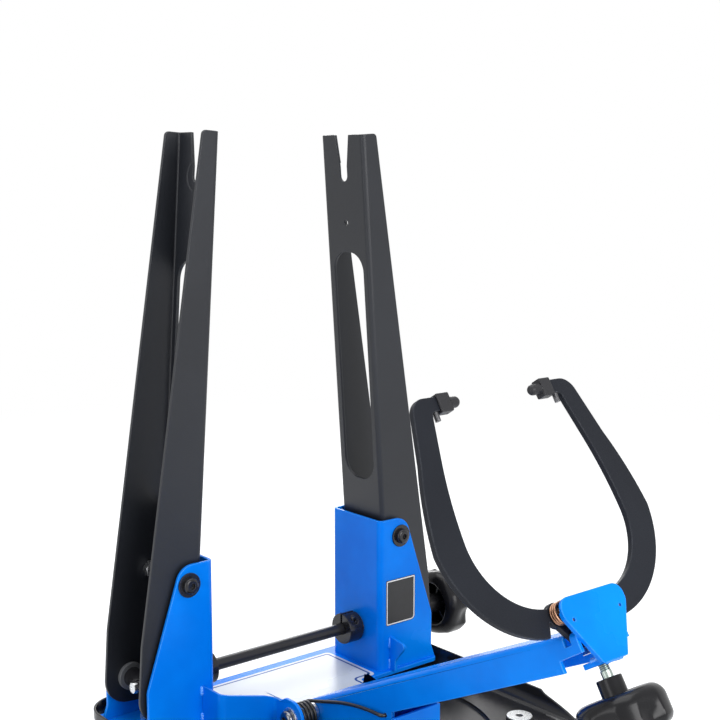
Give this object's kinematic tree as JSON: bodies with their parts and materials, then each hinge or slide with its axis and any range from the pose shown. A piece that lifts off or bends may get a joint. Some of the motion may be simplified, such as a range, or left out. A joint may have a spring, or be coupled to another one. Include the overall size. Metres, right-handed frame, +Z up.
{
  "type": "wheel truing stand",
  "caption": "Bench stand with two leaning uprights moved by a cranked spindle, and a raised arm with a pair of sickle calipers closed by a star knob.",
  "frame": {"origin": "centre of the four bench-bolt holes, at the level of the bench", "axes": "+Z up, -Y towards the mechanic and the caliper head, +X towards the spindle's knob"},
  "size_m": [0.387, 0.4948, 0.5284],
  "materials": {
    "black_coat": "satin black powder coat with a fine grain",
    "blue_coat": "glossy blue powder coat",
    "foot_rubber": "matt rubber",
    "zinc_steel": "bright zinc plate",
    "black_steel": "black oxide",
    "spring_steel": "blackened spring wire",
    "copper_spring": "copper-plated spring wire",
    "bush_bronze": "sintered bronze",
    "bush_nylon": "black nylon",
    "moulded_grip": "glossy black moulding",
    "tip_plastic": "black moulding",
    "tip_screw_steel": "dark steel",
    "label_white": "white printed film",
    "plate_black": "black plate with a white edge"
  },
  "bodies": {
    "stand": {"base_tray": "black_coat", "rubber_feet": "foot_rubber", "foot_sleeves": "zinc_steel", "base_plate": "blue_coat", "base_spacers": "zinc_steel", "base_bolts": "black_steel", "base_nuts": "zinc_steel", "floor_label": "label_white", "right_bracket": "blue_coat", "left_bracket": "blue_coat", "arm_pivot_wall": "blue_coat", "right_arm_ear": "blue_coat", "right_bracket_fin": "blue_coat", "spec_plate": "plate_black", "pivot_screws": "black_steel", "pivot_washers": "black_steel", "pivot_bushes": "bush_nylon", "pivot_nuts": "zinc_steel", "web_bushes": "bush_bronze", "arm_bolt": "black_steel", "arm_washers": "zinc_steel", "arm_nut": "zinc_steel"},
    "spindle_set": {"spindle": "black_steel", "spindle_collars": "black_steel", "collar_screws": "black_steel", "spindle_knob": "moulded_grip"},
    "left_upright_body": {"left_upright": "black_coat"},
    "right_upright_body": {"right_upright": "black_coat"},
    "left_nut_body": {"left_cross_nut": "black_steel", "left_nut_rings": "zinc_steel"},
    "right_nut_body": {"right_cross_nut": "black_steel", "right_nut_rings": "zinc_steel"},
    "arm": {"support_arm": "blue_coat", "arm_cross_plate": "blue_coat", "arm_bush": "zinc_steel", "arm_spring": "spring_steel", "rest_screw": "zinc_steel", "rest_nuts": "zinc_steel", "nut_plate": "blue_coat", "caliper_bracket": "blue_coat", "caliper_pins": "zinc_steel", "pin_clips": "black_steel", "left_caliper_spring": "copper_spring", "right_caliper_spring": "copper_spring"},
    "spreader": {"spreader_wedge": "zinc_steel"},
    "caliper_grip": {"caliper_stud": "zinc_steel", "caliper_knob": "moulded_grip"},
    "left_caliper": {"left_caliper_arm": "black_coat", "left_caliper_tip": "tip_plastic", "left_tip_screw": "tip_screw_steel"},
    "right_caliper": {"right_caliper_arm": "black_coat", "right_caliper_tip": "tip_plastic", "right_tip_screw": "tip_screw_steel"}
  },
  "joints": [
    {"name": "spindle_spin", "type": "hinge", "parent": "stand", "child": "spindle_set", "pos_m": [0, 0.0685, 0.063], "axis": [1, 0, 0], "range_deg": [-1170, 1260]},
    {"name": "right_upright_tilt", "type": "hinge", "parent": "stand", "child": "right_upright_body", "pos_m": [0.117, 0.0685, 0.155], "axis": [0, 1, 0], "range_deg": [-5.76, 6.21]},
    {"name": "left_upright_tilt", "type": "hinge", "parent": "stand", "child": "left_upright_body", "pos_m": [-0.117, 0.0685, 0.155], "axis": [0, -1, 0], "range_deg": [-5.76, 6.21]},
    {"name": "right_nut_slide", "type": "slide", "parent": "stand", "child": "right_nut_body", "axis": [-1, 0, 0], "range_m": [-0.00977, 0.01052]},
    {"name": "left_nut_slide", "type": "slide", "parent": "stand", "child": "left_nut_body", "axis": [1, 0, 0], "range_m": [-0.00977, 0.01052]},
    {"name": "arm_lift", "type": "hinge", "parent": "stand", "child": "arm", "pos_m": [0, -0.0175, 0.036], "axis": [-1, 0, 0], "range_deg": [0, 35]},
    {"name": "spreader_slide", "type": "slide", "parent": "arm", "child": "spreader", "axis": [0, 0.5299, 0.848], "range_m": [-0.00552, 0.00442]},
    {"name": "caliper_knob_spin", "type": "hinge", "parent": "spreader", "child": "caliper_grip", "pos_m": [0, -0.31148, 0.1591], "axis": [0, 0.5299, 0.848], "range_deg": [-1320, 1055]},
    {"name": "right_caliper_swing", "type": "hinge", "parent": "arm", "child": "right_caliper", "pos_m": [0.026, -0.28923, 0.19472], "axis": [0, -0.848, 0.5299], "range_deg": [-10.02, 8.02]},
    {"name": "left_caliper_swing", "type": "hinge", "parent": "arm", "child": "left_caliper", "pos_m": [-0.026, -0.28923, 0.19472], "axis": [0, 0.848, -0.5299], "range_deg": [-10.02, 8.02]}
  ],
  "couplings": [
    {"joint": "right_upright_tilt", "follows": "spindle_spin", "ratio": 0.0049091},
    {"joint": "left_upright_tilt", "follows": "spindle_spin", "ratio": 0.0049091},
    {"joint": "right_nut_slide", "follows": "spindle_spin", "m_per_rad": 0.00047746},
    {"joint": "left_nut_slide", "follows": "spindle_spin", "m_per_rad": 0.00047746},
    {"joint": "spreader_slide", "follows": "caliper_knob_spin", "m_per_rad": 0.00023873},
    {"joint": "right_caliper_swing", "follows": "caliper_knob_spin", "ratio": 0.0075788},
    {"joint": "left_caliper_swing", "follows": "caliper_knob_spin", "ratio": 0.0075788}
  ]
}
